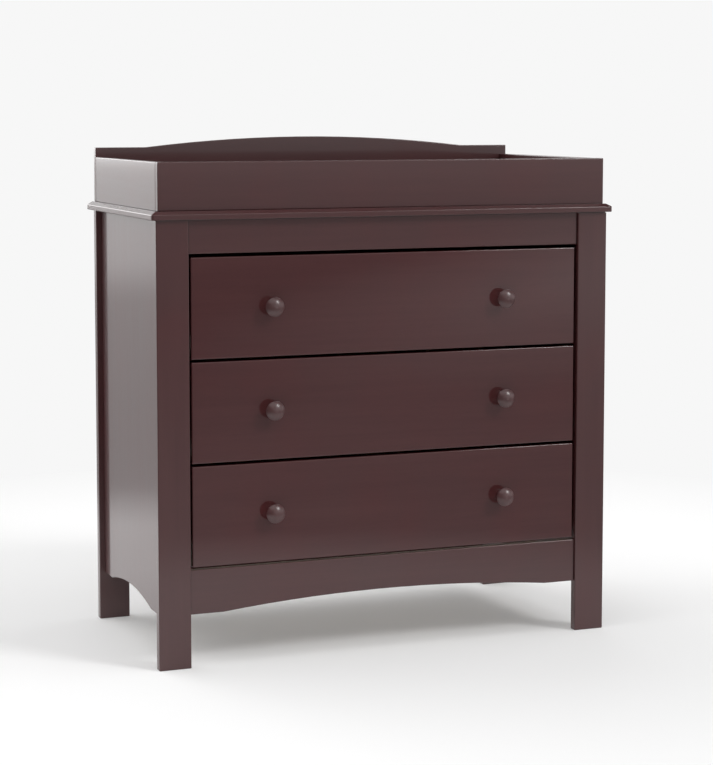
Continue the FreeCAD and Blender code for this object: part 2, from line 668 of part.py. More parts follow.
def join_rail(name, end, middle, y, opens):
    """A cam lock and a dowel at each end of a rail."""
    for side in SIDES:
        along = (-1, 0, 0) if side == "right" else (1, 0, 0)
        x = side_x(side, "leg_inner")
        leg = f"{end}_{side}_leg"
        add_cam(leg, name, (x, y, f"{middle} + rail_dowel_offset / 2"), along, opens)
        add_dowel(leg, name, (x, y, f"{middle} - rail_dowel_offset"), along)


def back_panel():
    """A thin panel held in grooves of the rear legs and rails."""
    reach = "back_groove_depth - groove_clearance"
    low, high = "apron_top", "rear_top_rail_z"
    nodes["back_panel"] = box(
        "back_panel", (f"2 * (leg_inner + {reach})", "back_panel_thickness",
                       f"{high} - {low} + 2 * ({reach})"),
        (f"-leg_inner - ({reach})", "back_panel_y", f"{low} - ({reach})"))
    groove = box("back_groove", ("2 * (leg_inner + back_groove_depth)", "back_groove_width",
                                 f"{high} - {low} + 2 * back_groove_depth"),
                 ("-leg_inner - back_groove_depth", "back_panel_y - groove_clearance",
                  f"{low} - back_groove_depth"))
    for name in ("rear_left_leg", "rear_right_leg", "rear_top_rail", "rear_low_rail"):
        let_into(name, groove)


# ---------------------------------------------------------------------------------------------
# Changing tray
# ---------------------------------------------------------------------------------------------
def tray():
    """Four boards doweled into a frame that stands on the top: front, two sides, arched back."""
    width = "2 * tray_half"
    blanks["tray_front"] = board("tray_front_board", (width, "tray_board", "tray_height"),
                                 ("-tray_half", "tray_front_y", "top_surface"))
    corners = (("-tray_half", "0"), ("tray_half", "0"), ("tray_half", "tray_back_height"),
               ("tray_arch_chord / 2", "tray_back_height"),
               ("-tray_arch_chord / 2", "tray_back_height"), ("-tray_half", "tray_back_height"))
    blanks["tray_back"] = shaped_board(
        "tray_back_board", "XZ_Plane", corners, {3: ("tray_arch_radius", "left")}, "tray_board",
        ("0", "tray_inner_rear", "top_surface"), backwards=True)
    for side in SIDES:
        name = f"tray_{side}_side"
        blanks[name] = board(
            f"{name}_board", ("tray_board", "tray_inner_rear - tray_inner_front", "tray_height"),
            (low_x(side, "tray_half - tray_board", "tray_half"), "tray_inner_front",
             "top_surface"))
        x = side_x(side, "tray_half - tray_board / 2")
        for offset in ("-tray_dowel_offset", "tray_dowel_offset"):
            z = f"tray_mid_z + ({offset})"
            add_dowel("tray_front", name, (x, "tray_inner_front", z), (0, 1, 0))
            add_dowel("tray_back", name, (x, "tray_inner_rear", z), (0, -1, 0))


def tray_screws():
    """Screws up through the rear overhang of the top into the tray's back board."""
    screws = []
    for step in (-1.5, -0.5, 0.5, 1.5):
        at = (f"{step} * tray_screw_pitch", "top_rear - tray_board / 2", "carcass_height")
        turn = facing((0, 0, 1), (1, 0, 0))
        count = len(screws)
        screws.append(copy_of(TRAY_SCREW, f"tray_screw_{count}", at, turn))
        hole = copy_of(TRAY_SCREW_BLANK, f"tray_screw_hole_{count}", at, turn)
        let_into("top_panel", hole)
        let_into("tray_back", hole)
    nodes["tray_screws"] = group("tray_screws", screws)


# ---------------------------------------------------------------------------------------------
# Runners
# ---------------------------------------------------------------------------------------------
def box_z(drawer):
    """Lower edge of a drawer box."""
    return f"{drawer}_z + drawer_box_lift"


def channel_z(drawer):
    """Underside of a cabinet runner."""
    return f"{box_z(drawer)} - runner_drop"


def flange_z(drawer):
    """Underside of a drawer runner's upper flange."""
    return f"{channel_z(drawer)} + channel_height + flange_clearance"


def screw_line(drawer):
    """Height of a runner's screws."""
    return f"{channel_z(drawer)} + channel_height / 2"


def runner_blocks():
    """Blocks glued to the side panels between the legs, flush with the legs' inner edges."""
    for drawer in DRAWERS:
        for side in SIDES:
            name = f"{drawer}_{side}_block"
            blanks[name] = box(
                f"{name}_blank", ("panel_inner - leg_inner", "side_panel_depth", "block_height"),
                (low_x(side, "leg_inner", "panel_inner"), "leg_back",
                 f"{screw_line(drawer)} - block_height / 2"))


def axle(label, side, start, outward, y, z):
    """A roller's axle and its head, riveted at x = start, towards the cabinet or away from it."""
    away = 1 if (side == "right") == outward else -1
    turn = facing((away, 0, 0), (0, 0, 1))
    length = (f"roller_outer - ({start}) + axle_play" if outward
              else f"({start}) - roller_inner + axle_play")
    sign = "+" if outward else "-"
    pin = cylinder(f"{label}_pin", "axle_radius", length, (side_x(side, start), y, z), turn)
    head = cylinder(f"{label}_head", "axle_head_radius", "axle_head",
                    (side_x(side, f"{start} {sign} ({length})"), y, z), turn)
    return [pin, head]


def runner_screws(drawer, side, source, blank, at_x, inward, targets):
    """Two countersunk screws through a runner into the board that it is fixed to."""
    direction = -1 if (side == "right") == inward else 1
    turn = facing((direction, 0, 0), (0, 0, 1))
    screws = []
    places = ("runner_front + front_screw_setback", "runner_back - rear_screw_setback")
    for index, y in enumerate(places):
        at = (side_x(side, at_x), y, screw_line(drawer))
        label = f"{drawer}_{side}_{source.Label}_{index}"
        screws.append(copy_of(source, label, at, turn))
        hole = copy_of(blank, f"{label}_hole", at, turn)
        for target in targets:
            let_into(target, hole)
    return screws


def cabinet_runners():
    """Steel channels screwed to the blocks, each with a front roller's axle riveted on."""
    screws = []
    names = []
    for drawer in DRAWERS:
        z = channel_z(drawer)
        for side in SIDES:
            sheet = "runner_gauge"
            inner = "(leg_inner - channel_depth)"
            web = "(leg_inner - runner_gauge)"
            base, top = f"({z})", f"({z} + channel_height)"
            corners = [("leg_inner", base), ("leg_inner", top), (inner, top),
                       (inner, f"{top} - {sheet}"), (web, f"{top} - {sheet}"),
                       (web, f"{base} + {sheet}"), (inner, f"{base} + {sheet}"), (inner, base)]
            if side == "left":
                corners = [(f"-{x}", y) for x, y in corners]
            name = f"{drawer}_{side}_channel"
            channel = shaped_board(f"{name}_strip", "XZ_Plane", corners, {}, "runner_length",
                                   ("0", "runner_front", "0"), backwards=True, eased=False)
            roller_z = f"{flange_z(drawer)} - roller_clearance - roller_radius"
            riveted = axle(f"{name}_axle", side, "leg_inner - runner_gauge", False,
                           "front_axle_y", roller_z)
            blanks[name] = fuse(f"{name}_riveted", [channel] + riveted)
            notch = box(f"{name}_notch",
                        ("channel_depth", "roller_end + roller_radius + runner_notch_margin",
                         "2 * runner_gauge"),
                        (low_x(side, "leg_inner - runner_gauge - channel_depth",
                               "leg_inner - runner_gauge"), "runner_front",
                         f"{top} - {sheet} - roller_clearance"))
            let_into(name, notch)
            screws += runner_screws(drawer, side, CABINET_SCREW, CABINET_SCREW_BLANK,
                                    "leg_inner - runner_gauge", False,
                                    [name, f"{drawer}_{side}_block"])
            names.append(name)
    nodes["cabinet_runner_screws"] = group("cabinet_runner_screws", screws)
    return names


def roller(label, side, y, z):
    """A nylon roller on its axle."""
    near, far = side_x(side, "roller_inner"), side_x(side, "roller_outer")
    bore = "axle_radius + axle_clearance"
    into = "-" if side == "right" else "+"
    back = "+" if side == "right" else "-"
    corners = ((near, bore), (far, bore), (far, "roller_radius - roller_chamfer"),
               (f"{far} {into} roller_chamfer", "roller_radius"),
               (f"{near} {back} roller_chamfer", "roller_radius"),
               (near, "roller_radius - roller_chamfer"))
    body = turned(label, "XY_Plane", corners, {}, "H_Axis")
    put(body, ("0", y, z))
    return body


def rollers(drawer):
    """The pair of front rollers in the cabinet, and the pair of rear rollers on the drawer."""
    front_z = f"{flange_z(drawer)} - roller_clearance - roller_radius"
    rear_z = f"{channel_z(drawer)} + runner_gauge + roller_clearance + roller_radius"
    for end, y, z in (("front", "front_axle_y", front_z), ("rear", "rear_axle_y", rear_z)):
        name = f"{drawer}_{end}_rollers"
        nodes[name] = group(name, [roller(f"{drawer}_{end}_{side}_roller", side, y, z)
                                   for side in SIDES])


# ---------------------------------------------------------------------------------------------
# Drawers
# ---------------------------------------------------------------------------------------------
def drawer_front(drawer):
    """The drawer front, inset between the legs, with a groove for the drawer's bottom."""
    blanks[f"{drawer}_front"] = board(
        f"{drawer}_front_board",
        ("2 * drawer_front_half", "drawer_front_thickness", "drawer_front_height"),
        ("-drawer_front_half", "front_y", f"{drawer}_z"))


def drawer_box(drawer):
    """Two sides and a back, doweled together and into the front."""
    z = box_z(drawer)
    pins = []
    for side in SIDES:
        name = f"{drawer}_{side}_side"
        blanks[name] = board(f"{name}_board", ("drawer_board", "drawer_box_depth",
                                               "drawer_box_height"),
                             (low_x(side, "box_inner", "box_half"), "box_front", z))
        inward = (-1, 0, 0) if side == "right" else (1, 0, 0)
        for height in (f"{z} + small_dowel_from_base",
                       f"{z} + drawer_box_height - small_dowel_from_top"):
            joints = (
                (f"{drawer}_front", (side_x(side, "box_half - drawer_board / 2"), "box_front",
                                     height), (0, 1, 0), name),
                (name, (side_x(side, "box_inner"), "box_back - drawer_board / 2", height),
                 inward, f"{drawer}_back"))
            for face_board, at, along, edge_board in joints:
                pin = copy_of(SMALL_DOWEL, f"{drawer}_dowel_{len(pins)}", at,
                              facing(along, (0, 0, 1)))
                pins.append(pin)
                let_into(face_board, pin)
                let_into(edge_board, pin)
    blanks[f"{drawer}_back"] = board(
        f"{drawer}_back_board", ("2 * box_inner", "drawer_board", "drawer_box_height"),
        ("-box_inner", "box_back - drawer_board", z))
    nodes[f"{drawer}_dowels"] = group(f"{drawer}_dowels", pins)


def drawer_bottom(drawer):
    """A thin bottom held in grooves on all four sides."""
    reach = "(drawer_groove_depth - groove_clearance)"
    z = f"{box_z(drawer)} + drawer_bottom_lift"
    inner_depth = "(drawer_box_depth - drawer_board)"
    nodes[f"{drawer}_bottom"] = box(
        f"{drawer}_bottom",
        (f"2 * (box_inner + {reach})", f"{inner_depth} + 2 * {reach}", "drawer_bottom_thickness"),
        (f"-box_inner - {reach}", f"box_front - {reach}", z))
    groove = box(
        f"{drawer}_bottom_groove",
        ("2 * (box_inner + drawer_groove_depth)", f"{inner_depth} + 2 * drawer_groove_depth",
         "drawer_bottom_thickness + 2 * groove_clearance"),
        ("-box_inner - drawer_groove_depth", "box_front - drawer_groove_depth",
         f"{z} - groove_clearance"))
    for piece in ("front", "left_side", "right_side", "back"):
        let_into(f"{drawer}_{piece}", groove)


def knobs(drawer):
    """Two turned knobs, each held by a machine screw from inside the drawer."""
    middle_z = f"{drawer}_z + drawer_front_height / 2"
    corners = (("0", "0"), ("knob_base_radius", "0"), ("knob_neck_radius", "-knob_neck"),
               ("knob_radius", "-knob_rim"), ("0", "-knob_reach"))
    arcs = {2: ("knob_under_curve", "left"), 3: ("knob_dome_radius", "right")}
    turned_knobs, screws = [], []
    for side in SIDES:
        x = side_x(side, "knob_spacing / 2")
        name = f"{drawer}_{side}_knob"
        knob = turned(f"{name}_turned", "XY_Plane", corners, arcs, "V_Axis")
        doc.recompute()
        sharp = knob.Tip
        rim = knob.newObject("PartDesign::Fillet", f"{name}_rim")
        rim_y = -number("knob_rim")
        rim.Base = (sharp, edges_where(sharp.Shape, lambda at: abs(at.y - rim_y) < NEAR))
        bind(rim, Radius="knob_rim_round")
        put(knob, (x, "front_y", middle_z))
        at = (x, "box_front", middle_z)
        turn = facing((0, -1, 0), (1, 0, 0))
        screws.append(copy_of(KNOB_SCREW, f"{name}_screw", at, turn))
        hole = copy_of(KNOB_SCREW_SHANK, f"{name}_screw_hole", at, turn)
        let_into(f"{drawer}_front", hole)
        turned_knobs.append(cut(name, knob, [hole]))
    nodes[f"{drawer}_knobs"] = group(f"{drawer}_knobs", turned_knobs)
    nodes[f"{drawer}_knob_screws"] = group(f"{drawer}_knob_screws", screws)


def drawer_runners(drawer):
    """Steel runners under the box's sides, each with a rear roller's axle riveted on."""
    z = f"({box_z(drawer)})"
    top = f"({flange_z(drawer)} + runner_gauge)"
    outer = "(leg_inner - flange_play)"
    under = "(box_half - shelf_flange)"
    names, screws = [], []
    for side in SIDES:
        corners = [("box_half", z), ("box_half", top), (outer, top),
                   (outer, f"{top} - runner_gauge"), ("runner_sheet_x", f"{top} - runner_gauge"),
                   ("runner_sheet_x", f"{z} - runner_gauge"), (under, f"{z} - runner_gauge"),
                   (under, z)]
        if side == "left":
            corners = [(f"-{x}", y) for x, y in corners]
        name = f"{drawer}_{side}_runner"
        strip = shaped_board(f"{name}_strip", "XZ_Plane", corners, {}, "runner_length",
                             ("0", "runner_front", "0"), backwards=True, eased=False)
        roller_z = f"{channel_z(drawer)} + runner_gauge + roller_clearance + roller_radius"
        riveted = axle(f"{name}_axle", side, "runner_sheet_x", True, "rear_axle_y", roller_z)
        blanks[name] = fuse(f"{name}_riveted", [strip] + riveted)
        screws += runner_screws(drawer, side, DRAWER_SCREW, DRAWER_SCREW_BLANK, "runner_sheet_x",
                                True, [name, f"{drawer}_{side}_side"])
        names.append(name)
    nodes[f"{drawer}_runner_screws"] = group(f"{drawer}_runner_screws", screws)
    return names


# ---------------------------------------------------------------------------------------------
# The whole dresser
# ---------------------------------------------------------------------------------------------
def finish(name):
    """A board with everything that is let into it cut out."""
    if name in let_in:
        return cut(name, blanks[name], let_in[name])
    blanks[name].Label = name
    return blanks[name]


def build():
    """Make every piece, then cut the joints and gather the pieces that share a name."""
    legs()
    side_panels()
    top_panel()
    front_rails()
    rear_rails()
    back_panel()
    tray()
    tray_screws()
    runner_blocks()
    shared = {"cabinet_runners": cabinet_runners(),
              "runner_blocks": [f"{drawer}_{side}_block" for drawer in DRAWERS for side in SIDES]}
    for drawer in DRAWERS:
        drawer_front(drawer)
        drawer_box(drawer)
        drawer_bottom(drawer)
        knobs(drawer)
        shared[f"{drawer}_runners"] = drawer_runners(drawer)
        rollers(drawer)
    for name, members in shared.items():
        nodes[name] = group(name, [finish(member) for member in members])
    gathered = [member for members in shared.values() for member in members]
    for name in blanks:
        if name not in gathered:
            nodes[name] = finish(name)
    for name, members in carcass_fasteners.items():
        nodes[name] = group(name, members)
    doc.recompute()


def check():
    """Stop if any object failed to build or any sub-part is not sound."""
    for thing in doc.Objects:
        if {"Invalid", "Error"} & set(thing.State):
            raise RuntimeError(f"{thing.Label} failed to build")
    for name, thing in nodes.items():
        if thing.Shape.isNull() or not thing.Shape.isValid() or not thing.Shape.Solids:
            raise RuntimeError(f"{name} is not a sound solid")


def write():
    """One STEP file for each sub-part."""
    os.makedirs("parts", exist_ok=True)
    for name, thing in sorted(nodes.items()):
        thing.Label = name
        thing.Shape.exportStep(f"parts/{name}.step")


build()
check()
write()
print(f"{len(nodes)} sub-parts written")
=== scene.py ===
"""Finishes, studio and camera of the changing dresser. Every shape is a CAD node of the frame."""

import math
from typing import NamedTuple

import bmesh
import bpy
from bpy.props import FloatProperty, FloatVectorProperty, PointerProperty
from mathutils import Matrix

bl_info = {
    "name": "Changing Dresser",
    "version": (1, 0, 0),
    "blender": (4, 5, 0),
    "location": "View3D > Sidebar > Dresser",
    "description": "Finishes the boards, drawers and fittings of a changing dresser",
    "category": "Object",
}

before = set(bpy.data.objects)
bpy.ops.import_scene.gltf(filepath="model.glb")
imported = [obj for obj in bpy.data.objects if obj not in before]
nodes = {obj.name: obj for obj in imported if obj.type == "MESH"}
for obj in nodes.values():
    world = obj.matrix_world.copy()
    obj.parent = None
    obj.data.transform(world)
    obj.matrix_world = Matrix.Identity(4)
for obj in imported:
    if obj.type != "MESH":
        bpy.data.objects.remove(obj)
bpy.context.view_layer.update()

DRAWERS = ("bottom_drawer", "middle_drawer", "top_drawer")
ALONG_X = (1, 0, 0)
ALONG_Y = (0, 1, 0)
ALONG_Z = (0, 0, 1)
WHITE = (1, 1, 1)


# ---------------------------------------------------------------------------------------------
# Shader maths
# ---------------------------------------------------------------------------------------------
class Fade(NamedTuple):
    """A number that runs from one level to another while what it follows runs over a stretch."""

    start: float
    end: float
    at_start: float = 0.0
    at_end: float = 1.0


class Wire:
    """A shader socket that can stand in an expression of values."""

    def __init__(self, shader, socket):
        self.shader = shader
        self.socket = socket

    def maths(self, operation, first, second):
        return self.shader.node("ShaderNodeMath", {"operation": operation},
                                {0: first, 1: second})

    def __add__(self, other):
        return self.maths("ADD", self, other)

    def __sub__(self, other):
        return self.maths("SUBTRACT", self, other)

    def __mul__(self, other):
        return self.maths("MULTIPLY", self, other)

    def __radd__(self, other):
        return self.maths("ADD", other, self)

    def __rsub__(self, other):
        return self.maths("SUBTRACT", other, self)

    def __rmul__(self, other):
        return self.maths("MULTIPLY", other, self)


class Shader:
    """The node tree of a material or of the world."""

    def __init__(self, owner):
        owner.use_nodes = True
        self.tree = owner.node_tree
        self.tree.nodes.clear()

    def node(self, kind, settings=None, sockets=None, output=0):
        """Add a node: its settings first, then values or links of its sockets."""
        made = self.tree.nodes.new(kind)
        for name, value in (settings or {}).items():
            setattr(made, name, value)
        for key, value in (sockets or {}).items():
            if isinstance(value, Wire):
                self.tree.links.new(value.socket, made.inputs[key])
            else:
                made.inputs[key].default_value = value
        return Wire(self, made.outputs[output]) if made.outputs else None

    def place(self, scale=(1, 1, 1)):
        """Object coordinates, scaled along each axis."""
        here = self.node("ShaderNodeTexCoord", output="Object")
        return self.node("ShaderNodeMapping", {}, {"Vector": here, "Scale": scale})

    def noise(self, at, scale, detail=2.0, roughness=0.5, distortion=0.0):
        """Noise from 0 to 1 at a place."""
        return self.node("ShaderNodeTexNoise", {}, {
            "Vector": at, "Scale": scale, "Detail": detail, "Roughness": roughness,
            "Distortion": distortion})

    def grained(self, grain, scales, detail=2.0, roughness=0.5, distortion=0.0):
        """Noise drawn out along the grain, by its scales along the grain and across it."""
        along, across = scales
        drawn_out = self.place([along if part else across for part in grain])
        return self.noise(drawn_out, 1, detail, roughness, distortion)

    def fade(self, value, fade):
        """The number that a fade gives for a value, held level past both its ends."""
        return self.node("ShaderNodeMapRange", {"clamp": True}, {
            "Value": value, "From Min": fade.start, "From Max": fade.end,
            "To Min": fade.at_start, "To Max": fade.at_end})

    def blend(self, share, first, second):
        """A colour between two colours."""
        return self.node("ShaderNodeMix", {"data_type": "RGBA"}, {0: share, 6: first, 7: second},
                         output=2)

    def measure(self, operation, first, second):
        """One number from two vectors, such as their distance."""
        return self.node("ShaderNodeVectorMath", {"operation": operation},
                         {0: first, 1: second}, output="Value")

    def part(self, vector, axis):
        """A vector's part along one axis."""
        return self.node("ShaderNodeSeparateXYZ", {}, {"Vector": vector}, output=axis)

    def ray(self, kind):
        """1 for one kind of ray, and 0 for the others."""
        return self.node("ShaderNodeLightPath", output=f"Is {kind} Ray")

    def bump(self, height, depth):
        """A normal that follows a height from 0 to 1, this many metres deep."""
        return self.node("ShaderNodeBump", {}, {"Height": height, "Distance": depth,
                                                "Strength": 1.0})

    def surface(self, **sockets):
        """The principled surface, joined to the material's output."""
        named = {name.replace("_", " "): value for name, value in sockets.items()}
        face = self.node("ShaderNodeBsdfPrincipled", {}, named)
        self.node("ShaderNodeOutputMaterial", {}, {"Surface": face})


def opaque(colour, value=1.0):
    """A colour with its alpha, dimmed or brightened."""
    return (*(part * value for part in colour), 1.0)


def shaded(colour, value):
    """A colour without alpha, dimmed or brightened."""
    return [part * value for part in colour]


# ---------------------------------------------------------------------------------------------
# Finishes. A pattern's scales are those along the grain and across it, per metre.
# ---------------------------------------------------------------------------------------------
STREAK_SCALES = (4, 110)
FIGURE_SCALES = (1.6, 24)
PORE_SCALES = (60, 1500)
CLOUD_SCALE = 7
GRAIN_CONTRAST = Fade(0.36, 0.64)
LACQUERED_PORES = Fade(0.6, 0.72)
STAINED_PORES = Fade(0.58, 0.7)
CLOUD_EDGES = Fade(0.45, 0.75)
PORE_SHARE = 0.25       # how much of a pore's dark stain shows through the lacquer
PORE_SHADE = 0.4        # a pore's stain against the wood's
REAR_RAIL_PAINTED_SHADE = 0.7  # painted shade: the bare stain dimmed so the rear rails look dark through the gap under the bottom drawer

RING_SCALES = (1.5, 9)
FIBRE_SCALES = (18, 700)
FLECK_SCALES = (90, 1100)
FLECK_EDGES = Fade(0.62, 0.7)

FELT_SCALE = 420
CLUMP_SCALE = 60
WEAVE_SCALE = 650.0
FELT_CONTRAST = Fade(0.35, 0.7)


def lacquered(name, grain, looks, coat_roughness, wood_gloss=0.5, coat_ior=1.5):
    """Dark stained wood under a semi-gloss lacquer, with its grain drawn along one axis."""
    material = bpy.data.materials.new(name)
    shader = Shader(material)
    streaks = shader.grained(grain, STREAK_SCALES, detail=5, roughness=0.6, distortion=0.4)
    figure = shader.grained(grain, FIGURE_SCALES, detail=3, distortion=1.2)
    pores = shader.fade(shader.grained(grain, PORE_SCALES), LACQUERED_PORES)
    clouds = shader.fade(shader.noise(shader.place(), CLOUD_SCALE), CLOUD_EDGES)
    bands = shader.fade(streaks * 0.5 + figure * 0.5, GRAIN_CONTRAST)
    stain = shader.blend(bands * looks.grain_strength, opaque(looks.stain_colour),
                         opaque(looks.grain_colour))
    stain = shader.blend(clouds * looks.cloud_strength, stain, opaque(looks.cloud_colour))
    stain = shader.blend(pores * PORE_SHARE, stain, opaque(looks.stain_colour, PORE_SHADE))
    skin = figure * 0.6 + streaks * 0.4 - pores * 0.3
    shader.surface(
        Base_Color=stain,
        Roughness=looks.sheen_roughness + bands * 0.03 + pores * 0.04,
        Normal=shader.bump(skin, looks.skin_depth),
        IOR=1.5, Specular_IOR_Level=wood_gloss,
        Coat_Weight=1.0, Coat_IOR=coat_ior, Coat_Roughness=coat_roughness)
    return material


def stained(name, grain, looks):
    """The same stain, bare of lacquer and dimmed as painted shade, on rails that hardly show."""
    material = bpy.data.materials.new(name)
    shader = Shader(material)
    streaks = shader.grained(grain, STREAK_SCALES, detail=5, roughness=0.6, distortion=0.4)
    pores = shader.fade(shader.grained(grain, PORE_SCALES), STAINED_PORES)
    # Painted shade: stain dimmed so the rear rail seen under the bottom drawer looks dark
    shader.surface(
        Base_Color=shader.blend(streaks, opaque(looks.stain_colour, REAR_RAIL_PAINTED_SHADE),
                                opaque(looks.grain_colour, REAR_RAIL_PAINTED_SHADE)),
        Roughness=0.72 + streaks * 0.1 + pores * 0.08,
        Normal=shader.bump(streaks - pores * 0.5, depth=0.00008),
        Specular_IOR_Level=0.2)
    return material


def bare_wood(name, grain, pale, dark, ring_count, roughness):
    """Pale wood with growth rings drawn along one axis, planed and left nearly bare."""
    material = bpy.data.materials.new(name)
    shader = Shader(material)
    wander = shader.grained(grain, RING_SCALES, detail=3, distortion=0.8)
    rings = shader.node("ShaderNodeMath", {"operation": "PINGPONG"},
                        {0: wander * ring_count, 1: 1.0})
    fibres = shader.grained(grain, FIBRE_SCALES, detail=4, roughness=0.6)
    flecks = shader.fade(shader.grained(grain, FLECK_SCALES), FLECK_EDGES)
    share = rings * 0.45 + fibres * 0.45 + flecks * 0.2
    shader.surface(
        Base_Color=shader.blend(share, opaque(pale), opaque(dark)),
        Roughness=roughness + fibres * 0.15,
        Normal=shader.bump(fibres * 0.7 + rings * 0.3, depth=0.00012))
    return material


def pressed_board(name, colour, fibre_colour):
    """Thin pressed fibre board: a fine felt of fibres, matte."""
    material = bpy.data.materials.new(name)
    shader = Shader(material)
    felt = shader.noise(shader.place(), FELT_SCALE, detail=4, roughness=0.65, distortion=0.6)
    clumps = shader.noise(shader.place(), CLUMP_SCALE, detail=3)
    weave = shader.node("ShaderNodeTexVoronoi", {},
                        {"Vector": shader.place(), "Scale": WEAVE_SCALE})
    share = shader.fade(felt * 0.7 + clumps * 0.3, FELT_CONTRAST)
    shader.surface(
        Base_Color=shader.blend(share, opaque(colour), opaque(fibre_colour)),
        Roughness=0.62 + felt * 0.2,
        Normal=shader.bump(felt * 0.6 + weave * 0.4, depth=0.0001))
    return material


def powder_coated(name, colour):
    """Steel sheet under a pale powder coat with a fine orange peel."""
    material = bpy.data.materials.new(name)
    shader = Shader(material)
    peel = shader.noise(shader.place(), scale=700)
    dust = shader.noise(shader.place(), scale=25, detail=3)
    shader.surface(
        Base_Color=shader.blend(dust * 0.3, opaque(colour), opaque(colour, 0.86)),
        Roughness=0.36 + peel * 0.12,
        Normal=shader.bump(peel, depth=0.00006))
    return material


def bare_metal(name, colour, tint, roughness, grit_scale):
    """Zinc, bright as plated or dull as cast, with its faint tints."""
    material = bpy.data.materials.new(name)
    shader = Shader(material)
    tints = shader.noise(shader.place(), scale=180, detail=3)
    grit = shader.noise(shader.place(), grit_scale, detail=3, roughness=0.6)
    shader.surface(
        Base_Color=shader.blend(tints, opaque(colour), opaque(tint)),
        Metallic=1.0,
        Roughness=roughness + grit * 0.18,
        Normal=shader.bump(grit, depth=0.00004))
    return material


def moulded_nylon(name, colour):
    """Milky moulded nylon with a satin skin."""
    material = bpy.data.materials.new(name)
    shader = Shader(material)
    satin = shader.noise(shader.place(), scale=850)
    milk = shader.noise(shader.place(), scale=90)
    shader.surface(
        Base_Color=shader.blend(milk * 0.5, opaque(colour), opaque(colour, 0.9)),
        Roughness=0.34 + satin * 0.12,
        Normal=shader.bump(satin, depth=0.00002),
        Subsurface_Weight=0.1, Subsurface_Scale=0.002)
    return material


def dress(names, material):
    """Give CAD nodes their finish."""
    for name in names:
        slots = nodes[name].data.materials
        slots.clear()
        slots.append(material)


# ---------------------------------------------------------------------------------------------
# What a user would change
# ---------------------------------------------------------------------------------------------
def colour_property(name, description, default):
    """A colour picker."""
    return FloatVectorProperty(name=name, description=description, default=default,
                               subtype="COLOR", min=0.0, max=1.0)


def share_property(name, description, default):
    """A slider from 0 to 1."""
    return FloatProperty(name=name, description=description, default=default,
                         subtype="FACTOR", min=0.0, max=1.0)


class LacquerLooks(bpy.types.PropertyGroup):
    """The dark finish of everything that shows with the drawers shut."""

    stain_colour: colour_property("Stain", "Colour of the stained wood", (0.057, 0.0145, 0.0155))
    grain_colour: colour_property("Grain", "Colour of the lighter streaks", (0.075, 0.022, 0.022))
    cloud_colour: colour_property("Clouds", "Colour of the redder patches",
                                  (0.073, 0.0125, 0.0135))
    grain_strength: share_property("Grain strength", "How much of the streaks shows", 0.5)
    cloud_strength: share_property("Cloud strength", "How much of the patches shows", 0.45)
    sheen_roughness: share_property("Sheen roughness", "Roughness under the lacquer", 0.42)
    board_roughness: share_property("Board roughness", "Roughness of the lacquer on the boards",
                                    0.1)
    knob_roughness: share_property("Knob roughness", "Roughness of the lacquer on the knobs", 0.3)
    front_roughness: share_property("Front roughness",
                                    "Roughness of the lacquer on the drawer fronts", 0.05)
    front_gloss: share_property("Front gloss", "Gloss of the wood under that lacquer", 0.15)
    front_ior: FloatProperty(name="Front index", default=1.7, min=1.0, max=3.0,
                             description="Refractive index of the lacquer on the drawer fronts")
    skin_depth: FloatProperty(name="Skin depth", default=0.00001, min=0.0, unit="LENGTH",
                              description="Depth of the grain that shows through the lacquer")


class FittingLooks(bpy.types.PropertyGroup):
    """The finishes that show with the drawers open, or from behind and below."""

    drawer_wood: colour_property("Drawer wood", "Sides and backs of the drawers",
                                 (0.62, 0.43, 0.25))
    bottom_wood: colour_property("Drawer bottoms", "Plywood of the drawer bottoms",
                                 (0.57, 0.49, 0.39))
    block_wood: colour_property("Blocks", "Softwood of the runner blocks", (0.60, 0.52, 0.42))
    dowel_wood: colour_property("Dowels", "Beech of the dowels", (0.58, 0.38, 0.22))
    dowel_grain: colour_property("Dowel grain", "Darker streaks of the dowels",
                                 (0.46, 0.28, 0.15))
    back_board: colour_property("Back", "Fibre board of the back", (0.065, 0.038, 0.03))
    runner_paint: colour_property("Runners", "Powder coat of the runners", (0.66, 0.64, 0.59))
    roller_nylon: colour_property("Rollers", "Nylon of the rollers", (0.74, 0.73, 0.69))
    zinc_plate: colour_property("Zinc plate", "Screws and cam bolts", (0.62, 0.63, 0.64))
    plate_tint: colour_property("Plate tint", "Bluer patches of the plate", (0.55, 0.56, 0.6))
    zinc_casting: colour_property("Zinc casting", "Cam locks", (0.45, 0.45, 0.45))
    casting_tint: colour_property("Casting tint", "Darker patches of the casting",
                                  (0.38, 0.38, 0.39))


class StudioSetup(bpy.types.PropertyGroup):
    """The floor, the light and the camera."""

    backdrop: share_property("Backdrop", "Brightness of the background", 0.93)
    floor_lift: share_property("Floor lift", "How far shadows on the floor are lightened", 0.2)
    dome: FloatProperty(name="Dome", description="Light from all round", default=0.24, min=0.0)
    floor_radius: FloatProperty(name="Floor radius", description="Size of the floor",
                                default=40.0, min=1.0, unit="LENGTH")
    focal_length: FloatProperty(name="Focal length", description="Lens, in millimetres",
                                default=106.71, min=1.0, unit="CAMERA")
    camera_pitch: FloatProperty(name="Camera pitch", description="Camera below the horizon",
                                default=math.radians(5.234), subtype="ANGLE")
    camera_yaw: FloatProperty(name="Camera yaw", description="Camera turned to the right",
                              default=math.radians(21.253), subtype="ANGLE")
    camera_place: FloatVectorProperty(name="Camera place", subtype="TRANSLATION", unit="LENGTH",
                                      description="Where the camera stands",
                                      default=(-1.4604, -3.7989, 1.0034))


